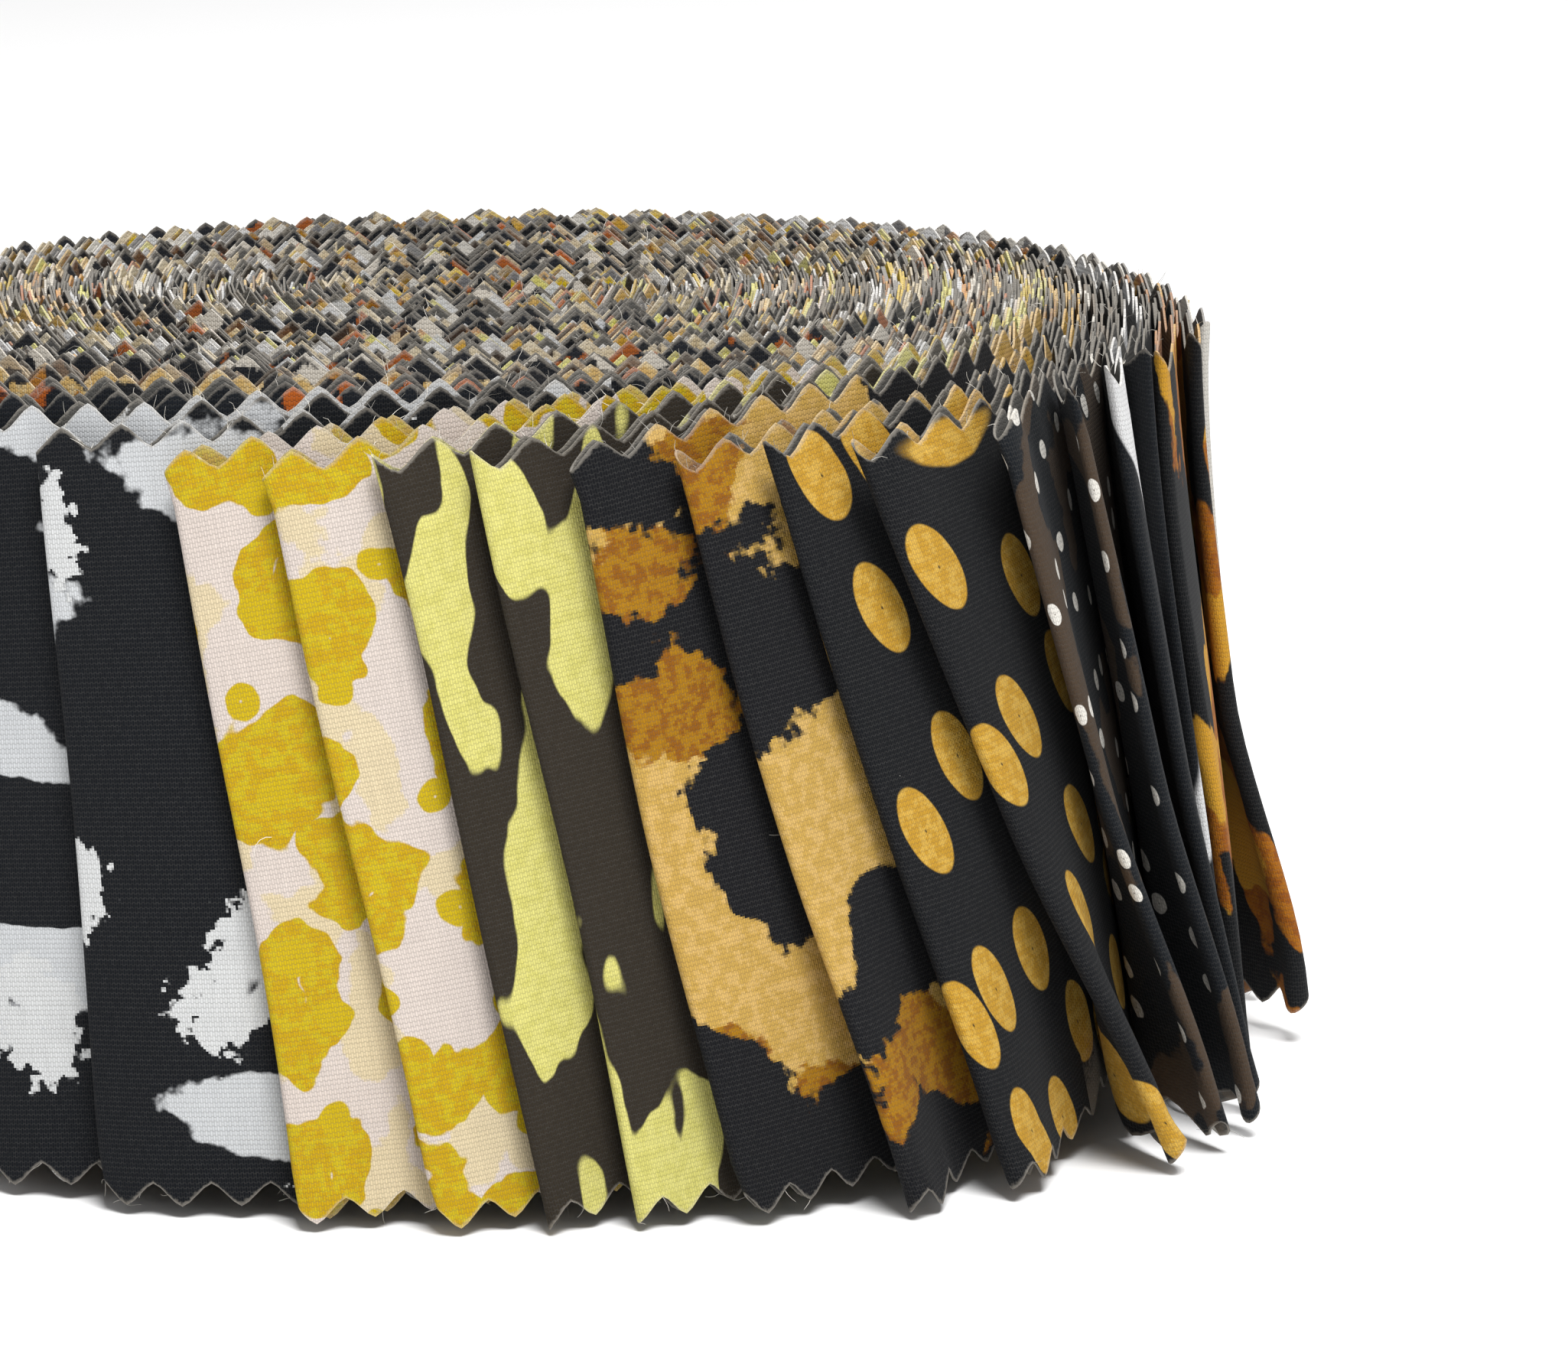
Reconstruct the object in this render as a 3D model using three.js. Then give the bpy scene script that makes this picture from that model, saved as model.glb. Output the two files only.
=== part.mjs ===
// A roll of cotton strips for patchwork. Each strip has pinked edges and is folded in half,
// the folded strips lie on each other a step apart, and all are wound up as one bundle, so
// that their folded ends show one after another round the outside. The roll stands on its
// flat end. Millimetres, +Z up, front towards -Y.
import * as THREE from 'three';

// Driving sizes of the roll
const STRIP_COUNT = 40;
const STRIP_WIDTH = 63.5;
const BODY_HALF_DEPTH = 52.3;
const OVAL_STRETCH = 8.5;
const BODY_HALF_WIDTH = BODY_HALF_DEPTH + OVAL_STRETCH;
const TURN_PITCH = 20;
const TURN_GAP = 0.5;
const EYE_HALF_DEPTH = 1.2;
const THIN_END = 1.2;
const SEAM_ANGLE = THREE.MathUtils.degToRad(125);

// The right end gives way: it is narrower than the oval and leans in towards its top
const END_GIVE = 3.2;
const END_LEAN = 3;
const END_TURN = 0.12;
const END_SPREAD = 0.62;
const LEAN_START = 0.3 * STRIP_WIDTH;

// The pinked edges
const TOOTH_PITCH = 4.7;
const TOOTH_HEIGHT = 2;

// The top of the wound form: a raised middle that falls off to the edge, highest at the back
const MIDDLE_HEIGHT = STRIP_WIDTH + 2.5;
const FRONT_EDGE_HEIGHT = STRIP_WIDTH - 1.9;
const BACK_EDGE_RISE = 2.4;
const SLOPE_WIDTH = 15;

// The folded ends: two plies of one strip with a soft bend between them
const PLY = 0.5;
const PLY_GAP = 0.35;
const SEAT_GAP = 0.45;
const STRIP_GAP = 0.36;
const OVERLAP = 2.6;
const NOSE_LENGTH = 1.4;
const MITRE_LIMIT = 0.75;
const SETTLE_SHARE = 0.85;
const WAIST_SHARE = 0.8;
const OUTER_STATIONS = [0.45, 0.62, 0.8, 1];
const EVEN_LOW = 0.6;
const EVEN_HIGH = STRIP_WIDTH - 0.7;
const EVEN_WANDER = 0.3;
const EVEN_STAND = 0.3;
const COARSE_LEVELS = [0, 0.25, 0.55, 1];
const FINE_LEVELS = [0, 0.25, 0.5, 0.75, 1];
const STACK_STEP = 2 * PLY + PLY_GAP + STRIP_GAP;

// Folded ends that lie fanned out at the front and right. top and bottom are the distances
// of the fold along the rim from the front middle, low and high the heights of its ends.
// stand is how far the fold stands off at the top, flare how much further at the bottom,
// and open the width of the bend.
const FANNED_ENDS = [
  { strip: 12, top: -37.5, bottom: -32.6, low: 0.6, high: 62.6, stand: 0.2, flare: 0.3, open: 0.9 },
  { strip: 13, top: -26.8, bottom: -17.0, low: 0.5, high: 61.6, stand: 0.3, flare: 0.6, open: 1.0 },
  { strip: 14, top: -19.3, bottom: -6.7, low: 0.4, high: 61.8, stand: 0.2, flare: 0.6, open: 1.0 },
  { strip: 15, top: -11.1, bottom: 1.4, low: 0.4, high: 62.2, stand: 0.4, flare: 0.6, open: 1.1 },
  { strip: 16, top: -3.7, bottom: 8.4, low: 0.6, high: 62.6, stand: 0.4, flare: 0.5, open: 1.1 },
  { strip: 17, top: 3.3, bottom: 16.0, low: 0.8, high: 62.8, stand: 0.5, flare: 0.6, open: 1.2 },
  { strip: 18, top: 11.1, bottom: 28.2, low: 0.4, high: 62.3, stand: 0.5, flare: 3.0, open: 1.2 },
  { strip: 19, top: 17.7, bottom: 37.0, low: 1.0, high: 62.9, stand: 0.8, flare: 2.2, open: 1.3 },
  { strip: 20, top: 24.7, bottom: 50.8, low: 0.8, high: 62.6, stand: 1.2, flare: 3.2, open: 1.4 },
  { strip: 21, top: 37.2, bottom: 57.2, low: 1.0, high: 63.6, stand: 1.6, flare: 2.8, open: 1.3 },
  { strip: 22, top: 44.6, bottom: 62.6, low: 1.2, high: 65.0, stand: 2.0, flare: 2.4, open: 1.3 },
  { strip: 23, top: 49.4, bottom: 68.0, low: 1.4, high: 66.2, stand: 1.8, flare: 1.6, open: 1.4 },
  { strip: 24, top: 55.4, bottom: 72.8, low: 1.4, high: 66.2, stand: 0.8, flare: 0.6, open: 1.2 },
  { strip: 25, top: 60.2, bottom: 77.8, low: 1.4, high: 65.6, stand: 0.8, flare: 0.8, open: 1.3 },
  { strip: 26, top: 73.5, bottom: 88.0, low: 2.8, high: 65.0, stand: 0.5, flare: 4.6, open: 1.3 },
  { strip: 27, top: 84.0, bottom: 101.0, low: 1.6, high: 64.2, stand: 0.2, flare: 3.6, open: 1.2 },
];

// Folded ends that lie in even steps: the left side up to the fan, and the back after it
const EVEN_RUNS = [
  { first: 1, last: 11, top: -132.5, topEnd: -46.2, lean: 7.0, leanEnd: 2.8, flare: 0.4, flareEnd: 0.4 },
  { first: 28, last: 40, top: 94.0, topEnd: 198.0, lean: 19.0, leanEnd: 8.0, flare: 2.6, flareEnd: 0.6 },
];

// Cloth colours: what shows most on each pair of like strips
const CLOTH_COLOURS = [
  '#b87617', '#22252c', '#3b322b', '#ddae5c', '#b4531d', '#20242b',
  '#d9b81f', '#2e2822', '#b87617', '#22252c', '#3b322b', '#1d1e22',
  '#c98a2b', '#8a8a86', '#d9b81f', '#3b322b', '#ddae5c', '#22252c',
  '#e2dc7a', '#20242b',
];

const rim = new THREE.EllipseCurve(
  0, 0, BODY_HALF_WIDTH, BODY_HALF_DEPTH, -Math.PI / 2, 1.5 * Math.PI, false);
rim.arcLengthDivisions = 1440;
const RIM_LENGTH = rim.getLength();

const { lerp, smoothstep } = THREE.MathUtils;

// A point of the oval whose half depth is radius
function ovalPoint(angle, radius) {
  return new THREE.Vector2((radius + OVAL_STRETCH) * Math.cos(angle), radius * Math.sin(angle));
}

// Length along that oval for each radian
function ovalSpeed(angle, radius) {
  return Math.hypot((radius + OVAL_STRETCH) * Math.sin(angle), radius * Math.cos(angle));
}

// Inner side of the bundle at a turn angle counted from the seam
function bundleInner(turn) {
  return Math.max(EYE_HALF_DEPTH, BODY_HALF_DEPTH - TURN_PITCH * turn / (2 * Math.PI));
}

// Outer side of the bundle: the rim in the first turn, then the turn before it
function bundleOuter(turn) {
  const before = BODY_HALF_DEPTH - TURN_PITCH * (turn / (2 * Math.PI) - 1) - TURN_GAP;
  return Math.min(BODY_HALF_DEPTH, before);
}

// Height of the top at an oval's half depth, before its teeth
function topHeight(angle, radius) {
  const edge = FRONT_EDGE_HEIGHT + BACK_EDGE_RISE * (1 + Math.sin(angle)) / 2;
  const slope = smoothstep(radius, BODY_HALF_DEPTH - SLOPE_WIDTH, BODY_HALF_DEPTH);
  return lerp(MIDDLE_HEIGHT, edge, slope);
}

// Where a point of the even oval bundle lies once its right end has given way
function settledPoint(point) {
  const across = point.x / BODY_HALF_WIDTH;
  const deep = point.y / BODY_HALF_DEPTH;
  const turn = (Math.atan2(deep, across) + END_TURN) / END_SPREAD;
  const share = Math.exp(-turn * turn) * Math.min(Math.hypot(across, deep), 1.1);
  const lean = END_LEAN * smoothstep(point.z, LEAN_START, STRIP_WIDTH);
  return new THREE.Vector3(point.x - (END_GIVE + lean) * share, point.y, point.z);
}

// A closed body from equal rings of points, with a cap on its first and last ring
function bodyFromRings(rings, capTriangles) {
  const count = rings[0].length;
  const positions = rings.flat().flatMap((point) => settledPoint(point).toArray());
  const index = [];
  for (let row = 0; row + 1 < rings.length; row += 1) {
    for (let side = 0; side < count; side += 1) {
      const here = row * count + side;
      const next = row * count + (side + 1) % count;
      index.push(here, next, next + count);
      index.push(here, next + count, here + count);
    }
  }
  const lastRow = (rings.length - 1) * count;
  for (const [a, b, c] of capTriangles) {
    index.push(a, c, b);
    index.push(lastRow + a, lastRow + b, lastRow + c);
  }
  const geometry = new THREE.BufferGeometry();
  geometry.setAttribute('position', new THREE.Float32BufferAttribute(positions, 3));
  geometry.setIndex(index);
  geometry.computeVertexNormals();
  return geometry;
}

// The wound form: one thick band that winds inward, thin at both of its ends. Its flat
// underside carries the roll, and its top is cut in teeth that alternate across the band.
function woundForm() {
  const lanes = [0, 1 / 3, 2 / 3, 1];
  const widestStep = THREE.MathUtils.degToRad(7);
  const rings = [];
  let turn = THIN_END / TURN_PITCH * 2 * Math.PI;
  while (bundleOuter(turn) - bundleInner(turn) >= THIN_END - 1e-6) {
    const angle = SEAM_ANGLE + turn;
    const inner = bundleInner(turn);
    const outer = bundleOuter(turn);
    const tooth = rings.length % 2 ? 1 : -1;
    const innerFoot = ovalPoint(angle, inner);
    const outerFoot = ovalPoint(angle, outer);
    const ring = [
      new THREE.Vector3(outerFoot.x, outerFoot.y, 0),
      new THREE.Vector3(innerFoot.x, innerFoot.y, 0),
    ];
    lanes.forEach((share, lane) => {
      const radius = lerp(inner, outer, share);
      const place = ovalPoint(angle, radius);
      const cut = tooth * (lane % 2 ? -1 : 1) * TOOTH_HEIGHT / 2;
      ring.push(new THREE.Vector3(place.x, place.y, topHeight(angle, radius) + cut));
    });
    rings.push(ring);
    const middle = (inner + outer) / 2;
    turn += Math.min(widestStep, TOOTH_PITCH / 2 / ovalSpeed(angle, middle));
  }
  const caps = [[0, 1, 2], [0, 2, 3], [0, 3, 4], [0, 4, 5]];
  return bodyFromRings(rings, caps);
}

// A folded end that lies in an even run
function evenEnd(run, strip) {
  const share = (strip - run.first) / (run.last - run.first);
  const top = lerp(run.top, run.topEnd, share);
  const flare = lerp(run.flare, run.flareEnd, share);
  return {
    strip,
    top,
    bottom: top + lerp(run.lean, run.leanEnd, share),
    low: EVEN_LOW,
    high: EVEN_HIGH + EVEN_WANDER * Math.sin(2.4 * strip),
    stand: EVEN_STAND,
    flare,
    open: 1 + 0.12 * flare,
  };
}

function allEnds() {
  const ends = [...FANNED_ENDS];
  for (const run of EVEN_RUNS) {
    for (let strip = run.first; strip <= run.last; strip += 1) {
      ends.push(evenEnd(run, strip));
    }
  }
  return ends.sort((one, other) => one.strip - other.strip);
}

// A point at a distance along the rim and an offset out from the wound form
function rimPoint(distance, offset, height) {
  const share = THREE.MathUtils.euclideanModulo(distance / RIM_LENGTH, 1);
  const place = rim.getPointAt(share);
  const along = rim.getTangentAt(share);
  return new THREE.Vector3(place.x + along.y * offset, place.y - along.x * offset, height);
}

// Middle line of the folded strip as [distance behind the fold, offset] at one height:
// along the inner ply to the fold, round the bend and back along the outer ply
function foldLine(span, reach, stand, open) {
  const half = PLY / 2;
  const settled = SETTLE_SHARE * reach;
  const clear = OVERLAP + STRIP_GAP;
  const lift = (behind) => lerp(stand, SEAT_GAP, smoothstep(behind, clear, settled));
  const gap = (behind) => lerp(open, PLY_GAP, smoothstep(behind, NOSE_LENGTH, settled));
  const inner = [span, settled, (clear + settled) / 2, clear, NOSE_LENGTH];
  const outer = [NOSE_LENGTH, OVERLAP, ...OUTER_STATIONS.map((share) => share * span)];
  const line = inner.map((behind) => [behind, lift(behind) + half]);
  line.push([half, stand + half + (PLY + open) / 2]);
  for (const behind of outer) {
    line.push([behind, lift(behind) + PLY + gap(behind) + half]);
  }
  return line;
}

// The two faces of a ply of even thickness about its middle line, mitred at its bends
function plyOutline(line) {
  const normals = line.slice(1).map(([x, y], index) => {
    const [x0, y0] = line[index];
    return new THREE.Vector2(y0 - y, x - x0).normalize();
  });
  const left = [];
  const right = [];
  line.forEach(([x, y], index) => {
    const before = normals[Math.max(index - 1, 0)];
    const after = normals[Math.min(index, normals.length - 1)];
    const across = before.clone().add(after);
    const mitre = Math.max(across.length() / 2, MITRE_LIMIT);
    across.normalize().multiplyScalar(PLY / 2 / mitre);
    left.push([x + across.x, y + across.y]);
    right.push([x - across.x, y - across.y]);
  });
  return [...left, ...right.reverse()];
}

// One folded end: the outline of its two plies at a few heights, with pinked edges
function foldedEnd(end, next) {
  const levels = end.strip < FANNED_ENDS[0].strip ? COARSE_LEVELS : FINE_LEVELS;
  const rings = levels.map((level) => {
    const fold = lerp(end.bottom, end.top, level);
    const reach = lerp(next.bottom, next.top, level) - fold;
    const waist = 1 - WAIST_SHARE * Math.sin(Math.PI * level);
    const flare = end.flare * (1 - smoothstep(level, 0, 0.5));
    const stand = STACK_STEP + SEAT_GAP + end.stand * waist + flare;
    const outline = plyOutline(foldLine(reach + OVERLAP, reach, stand, end.open));
    const count = outline.length;
    return outline.map(([behind, offset], index) => {
      const station = Math.min(index, count - 1 - index);
      const cut = (station % 2 ? 1 : 0) * TOOTH_HEIGHT;
      let height = lerp(end.low, end.high, level);
      if (level === 0) {
        height += cut;
      }
      if (level === 1) {
        height -= cut;
      }
      return rimPoint(fold + behind, offset, height);
    });
  });
  const count = rings[0].length;
  const caps = [];
  for (let station = 0; station + 1 < count / 2; station += 1) {
    const across = count - 1 - station;
    caps.push([station, station + 1, across]);
    caps.push([station + 1, across - 1, across]);
  }
  return bodyFromRings(rings, caps);
}

function addMesh(parent, name, geometry, colour) {
  const material = new THREE.MeshStandardMaterial({ color: colour, roughness: 0.9, metalness: 0 });
  const mesh = new THREE.Mesh(geometry, material);
  mesh.name = name;
  parent.add(mesh);
}

// The roll and its folded ends, centred on the middle of its outline
const group = new THREE.Group();
const assembly = new THREE.Group();
group.add(assembly);
addMesh(assembly, 'roll', woundForm(), '#6f675a');
const ends = allEnds();
ends.forEach((end, index) => {
  const following = ends[(index + 1) % STRIP_COUNT];
  const wrap = index + 1 === STRIP_COUNT ? RIM_LENGTH : 0;
  const next = { top: following.top + wrap, bottom: following.bottom + wrap };
  const name = `strip_end_${String(end.strip).padStart(2, '0')}`;
  const colour = CLOTH_COLOURS[Math.floor(index / 2)];
  addMesh(assembly, name, foldedEnd(end, next), colour);
});
const middle = new THREE.Box3().setFromObject(assembly).getCenter(new THREE.Vector3());
assembly.position.set(-middle.x, -middle.y, 0);

export default group;
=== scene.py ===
"""Looks for a roll of pinked cotton strips.

Forty printed strips are folded in half, laid on each other a step apart and wound up as one
bundle. Every strip is modelled whole, from its folded end to its raw ends in the middle, as
a thin closed sheet with pinked edges, in place of the solids of the wound form.
"""
import logging
import math
from dataclasses import dataclass, field
from enum import Enum
from functools import cache
from typing import Iterable

import bpy
import numpy as np
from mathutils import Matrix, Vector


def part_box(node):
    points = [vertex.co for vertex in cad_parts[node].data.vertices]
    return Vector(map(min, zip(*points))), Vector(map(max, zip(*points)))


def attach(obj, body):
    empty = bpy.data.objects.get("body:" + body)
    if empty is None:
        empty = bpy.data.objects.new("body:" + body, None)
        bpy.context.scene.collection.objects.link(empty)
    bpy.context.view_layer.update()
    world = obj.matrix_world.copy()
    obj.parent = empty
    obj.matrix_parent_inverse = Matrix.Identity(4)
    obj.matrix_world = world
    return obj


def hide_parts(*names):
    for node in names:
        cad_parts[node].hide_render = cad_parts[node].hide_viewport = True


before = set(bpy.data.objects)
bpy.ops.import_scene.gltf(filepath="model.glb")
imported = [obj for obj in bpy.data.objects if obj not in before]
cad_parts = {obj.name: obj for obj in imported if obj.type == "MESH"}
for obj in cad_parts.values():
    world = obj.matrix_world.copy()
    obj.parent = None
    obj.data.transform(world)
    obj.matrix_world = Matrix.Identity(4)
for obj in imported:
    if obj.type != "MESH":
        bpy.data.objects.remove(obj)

MM = 0.001
BODY = "root"
TIGHT_BEND = 0.25
RIM_POINTS = 2881
MOST_TURNS = 6
STRAY_STRIPS = (12, 17, 18)
LEAST_FRAYED = 0.08
LOG = logging.getLogger("roll")


@dataclass(frozen=True)
class Fold:
    """The folded end of one strip, in millimetres.

    top and bottom are the distances of the fold along the rim from the front middle, low
    and high the heights of its ends. stand is how far it stands off at the top, flare how
    much further at the bottom, open the width of its bend, and waist the share by which it
    is drawn in halfway up.
    """

    strip: int
    top: float
    bottom: float
    low: float
    high: float
    stand: float
    flare: float
    open: float
    waist: float = 0.8

    @property
    def radius(self) -> float:
        """Return the radius of the bend."""
        return (TIGHT_BEND + self.open) / 2


FANNED_FOLDS = (
    Fold(12, -37.5, -32.6, 0.6, 62.6, 0.2, 0.3, 0.9),
    Fold(13, -26.8, -17.0, 0.5, 61.6, 0.3, 0.6, 1.0),
    Fold(14, -19.3, -6.7, 0.4, 61.8, 0.2, 0.6, 1.0),
    Fold(15, -11.1, 1.4, 0.4, 62.2, 0.4, 0.6, 1.1),
    Fold(16, -3.7, 8.4, 0.6, 62.6, 0.4, 0.5, 1.1),
    Fold(17, 3.3, 16.0, 0.8, 62.8, 0.5, 0.6, 1.2),
    Fold(18, 11.1, 28.2, 0.4, 62.3, 0.5, 3.8, 1.2),
    Fold(19, 17.7, 37.0, 1.0, 62.9, 0.8, 2.4, 1.3, 0.5),
    Fold(20, 24.7, 50.8, 0.8, 62.6, 1.2, 6.2, 1.4, 0.2),
    Fold(21, 36.6, 56.8, 1.0, 63.6, 2.2, 5.0, 1.3, -0.1),
    Fold(22, 43.9, 62.0, 1.2, 65.0, 2.8, 3.8, 1.3, -0.1),
    Fold(23, 48.8, 67.4, 1.4, 66.2, 2.4, 2.4, 1.4, 0.1),
    Fold(24, 57.8, 73.4, 1.4, 66.2, 0.8, 0.6, 1.2, 1.0),
    Fold(25, 60.2, 77.8, 1.4, 65.6, 0.8, 0.8, 1.3, 0.9),
    Fold(26, 73.5, 88.0, 2.8, 65.0, 0.5, 5.6, 1.3, 0.8),
    Fold(27, 84.0, 101.0, 1.6, 64.2, 0.2, 4.4, 1.2, 0.8),
)


@dataclass(frozen=True)
class EvenRun:
    """A run of folded ends in even steps, from its first strip to its last."""

    first: int
    last: int
    top: tuple[float, float]
    lean: tuple[float, float]
    flare: tuple[float, float]
    low: float = 0.6
    high: float = 62.8
    uneven: float = 0.3
    stand: float = 0.3
    opening: float = 0.12

    def folds(self) -> list[Fold]:
        """Make the folds of the run.

        Returns:
            One fold for each strip, its sizes between those of the run's ends.
        """
        made = []
        for strip in range(self.first, self.last + 1):
            share = (strip - self.first) / (self.last - self.first)
            top, lean, flare = (a + (b - a) * share for a, b in (self.top, self.lean, self.flare))
            high = self.high + self.uneven * math.sin(2.4 * strip)
            made.append(Fold(strip, top, top + lean, self.low, high, self.stand, flare,
                             1 + self.opening * flare))
        return made


EVEN_RUNS = (
    EvenRun(1, 11, (-132.5, -46.2), (7.0, 2.8), (0.4, 0.4)),
    EvenRun(28, 40, (94.0, 198.0), (19.0, 8.0), (3.0, 0.6)),
)


def blend(value: np.ndarray, low: float, high: float) -> np.ndarray:
    """Return the smooth step from 0 at low to 1 at high, at each value."""
    share = np.clip((value - low) / (high - low), 0.0, 1.0)
    return share * share * (3 - 2 * share)


def linked(name: str, data: bpy.types.ID) -> bpy.types.Object:
    """Make an object of some data, put it in the scene and return it."""
    made = bpy.data.objects.new(name, data)
    bpy.context.collection.objects.link(made)
    return made


@dataclass
class Winding:
    """How the bundle of strips winds inward, in millimetres.

    The outline is an oval. Each strip starts at it with its fold and sinks by strip_pitch
    for each further fold passed. The outermost strips lie loose, so that the rest of the
    bundle is smaller by loose_shrink and sits off the middle by loose_shift.
    right_end, back_left and front_right are the angle and the spread of the parts of the oval
    that give way, sag or lift.
    """

    strip_width: float = 63.5
    body_half_depth: float = 52.3
    stretch: float = 8.5
    rim_half_depth: float = 56.3
    eye_half_depth: float = 1.4
    strip_pitch: float = 0.46
    loose_shrink: float = 7.5
    loose_shift: tuple[float, float] = (-3.0, 4.6)
    loose_strips: float = 6.5
    middle_rise: float = 2.6
    rise_strips: float = 2.2
    relax_length: float = 60.0
    sway: float = 0.45
    waver: float = 0.22
    waver_turns: float = 2.2
    packed_depths: tuple[float, float] = (0.1, 1.3)
    right_end: tuple[float, float] = (-0.12, 0.62)
    back_left: tuple[float, float] = (2.3, 0.7)
    front_right: tuple[float, float] = (-0.75, 0.5)
    end_give: float = 3.2
    end_lean: float = 3.0
    back_sag: float = 1.1
    foot_rise: float = 2.4
    seed: int = 11
    folds: list[Fold] = field(default_factory=list)

    def __post_init__(self) -> None:
        """Work out the rim's length table and order the folds."""
        fans = list(FANNED_FOLDS)
        for run in EVEN_RUNS:
            fans.extend(run.folds())
        self.folds = sorted(fans, key=lambda fold: fold.strip)
        angles = np.linspace(-0.5 * np.pi, 1.5 * np.pi, RIM_POINTS)
        half_width = self.body_half_depth + self.stretch
        x, y = half_width * np.cos(angles), self.body_half_depth * np.sin(angles)
        steps = np.hypot(np.diff(x), np.diff(y))
        self.rim_angles = angles
        self.rim_lengths = np.concatenate([[0.0], np.cumsum(steps)])
        self.rim_length = float(self.rim_lengths[-1])
        rng = np.random.default_rng(self.seed)
        self.wobbles = rng.uniform(0, 2 * np.pi, (len(self.folds), 4))

    def angle_at(self, distance: np.ndarray) -> np.ndarray:
        """Turn distances along the rim into angles of the oval.

        Args:
            distance: Distances from the front middle, any number of turns.

        Returns:
            Angles in radians, counted on past a full turn.
        """
        turns = np.floor(distance / self.rim_length)
        rest = distance - turns * self.rim_length
        return np.interp(rest, self.rim_lengths, self.rim_angles) + 2 * np.pi * turns

    def fold_at(self, index: int, level: float) -> float:
        """Find where a fold stands at one level.

        Args:
            index: Place of the strip in the list of folds.
            level: Share of the strip's width, 0 at the foot and 1 at the top.

        Returns:
            The distance along the rim.
        """
        fold = self.folds[index]
        phase = self.wobbles[index]
        sway = self.sway * math.sin(math.pi * level) * math.sin(phase[0])
        sway += self.waver * math.sin(self.waver_turns * math.pi * level + phase[1])
        return fold.bottom + (fold.top - fold.bottom) * level + sway

    def passed(self, level: float, distance: np.ndarray) -> np.ndarray:
        """Count the folds passed along the rim, as a smooth number.

        Args:
            level: Share of the strip's width.
            distance: Distances along the rim.

        Returns:
            The count at each distance.
        """
        count = len(self.folds)
        places = np.array([self.fold_at(i, level) for i in range(count)])
        turns = np.arange(-1, MOST_TURNS)
        stops = (places[None, :] + turns[:, None] * self.rim_length).ravel()
        counts = (np.arange(count)[None, :] + turns[:, None] * count).ravel()
        return np.interp(distance, stops, counts)

    def last_depth(self) -> float:
        """Return the number of strips from the outline to the eye in the middle."""
        return (self.rim_half_depth - self.loose_shrink - self.eye_half_depth) / self.strip_pitch

    def surface(self, index: int, level: float, behind: np.ndarray) -> tuple[np.ndarray, ...]:
        """Place the middle surface of a folded strip at one level.

        Args:
            index: Place of the strip in the list of folds.
            level: Share of the strip's width.
            behind: Distances along the rim from the fold.

        Returns:
            Points and outward normals in plan, and the number of strips outside each.
        """
        middle = self.fold_at(index, 0.5)
        slant = (self.fold_at(index, level) - middle) * np.exp(-behind / self.relax_length)
        distance = middle + slant + behind
        depth = np.maximum(self.passed(level, distance) - index, 0.0)
        angle = self.angle_at(distance)
        loose = np.tanh(depth / self.loose_strips)
        radius = self.rim_half_depth - self.strip_pitch * depth - self.loose_shrink * loose
        radius = np.maximum(radius, self.eye_half_depth)
        x = (radius + self.stretch) * np.cos(angle) + self.loose_shift[0] * loose
        y = radius * np.sin(angle) + self.loose_shift[1] * loose
        nx, ny = radius * np.cos(angle), (radius + self.stretch) * np.sin(angle)
        size = np.hypot(nx, ny)
        return np.stack([x, y], 1), np.stack([nx / size, ny / size], 1), depth

    @staticmethod
    def _lobe(angle: np.ndarray, part: tuple[float, float]) -> np.ndarray:
        """Return a soft bump round a part of the oval, from its angle and spread."""
        return np.exp(-((angle - part[0]) / part[1]) ** 2)

    def slumped(self, points: np.ndarray) -> np.ndarray:
        """Let the bundle give way, lean and sag as a whole.

        Its right end is narrower and leans in at its top, its back left sinks, and its foot
        lifts at the front right.

        Args:
            points: Points in millimetres.

        Returns:
            The moved points.
        """
        x, y, z = points.T
        across = x / (self.body_half_depth + self.stretch)
        deep = y / self.body_half_depth
        reach = np.minimum(np.hypot(across, deep), 1.1)
        angle = np.arctan2(deep, across)
        level = z / self.strip_width
        high = blend(level, 0.3, 1.0)
        right = self._lobe(angle, self.right_end) * reach
        back_left = self._lobe(angle, self.back_left) * reach ** 2
        front_right = self._lobe(angle, self.front_right) * reach ** 2
        foot = front_right * (1 - blend(level, 0.0, 0.6)) * (1 - blend(reach, 0.98, 1.04))
        moved_x = x - (self.end_give + self.end_lean * high) * right
        moved_z = z - self.back_sag * back_left * high + self.foot_rise * foot
        return np.column_stack([moved_x, y, moved_z])

    def ply_gap(self, fold: Fold, depth: np.ndarray, normal: np.ndarray) -> np.ndarray:
        """Find how far apart the two plies of a strip lie.

        Args:
            fold: The strip's folded end.
            depth: Number of strips outside each point.
            normal: Outward normals in plan.

        Returns:
            The distance between the middles of the plies.
        """
        shift = -(normal @ np.array(self.loose_shift))
        loose = (self.loose_shrink + shift) / self.loose_strips
        packed = 0.5 * (self.strip_pitch + loose / np.cosh(depth / self.loose_strips) ** 2)
        near = 2 * fold.radius
        return near + (packed - near) * blend(depth, *self.packed_depths)


@dataclass(frozen=True)
class Wave:
    """One wave along the cloth: its size, its length, which phase it takes and its rise."""

    size: float
    length: float
    phase: int
    rise: float = 0.0

    def at(self, along: np.ndarray, level: float, phases: np.ndarray) -> np.ndarray:
        """Return the wave at places along the cloth, at one level."""
        turn = along / self.length + self.rise * level + phases[self.phase]
        return self.size * np.sin(turn)


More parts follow.
